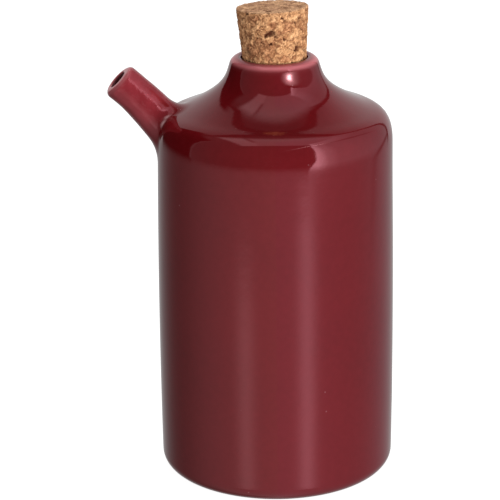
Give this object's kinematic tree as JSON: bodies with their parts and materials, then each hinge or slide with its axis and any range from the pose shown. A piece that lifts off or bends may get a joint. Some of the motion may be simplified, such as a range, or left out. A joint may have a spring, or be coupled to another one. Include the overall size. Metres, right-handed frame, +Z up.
{
  "type": "ceramic oil bottle",
  "caption": "Glazed stoneware oil bottle with a rounded shoulder, a short upturned pouring spout and a tapered cork stopper.",
  "frame": {"origin": "centre of the flat base, on the axis of the turned body", "axes": "+Z up along the body's axis, -X towards the pouring spout; the picture looks along +Y and down"},
  "size_m": [0.102, 0.0856, 0.1727],
  "materials": {
    "glaze": "glossy wine-red glaze, slightly uneven, thinner and pinker on rims",
    "cork": "matt agglomerated cork with brown granules and dark pits"
  },
  "bodies": {
    "root": {"bottle": "glaze", "cork": "cork"}
  },
  "joints": []
}
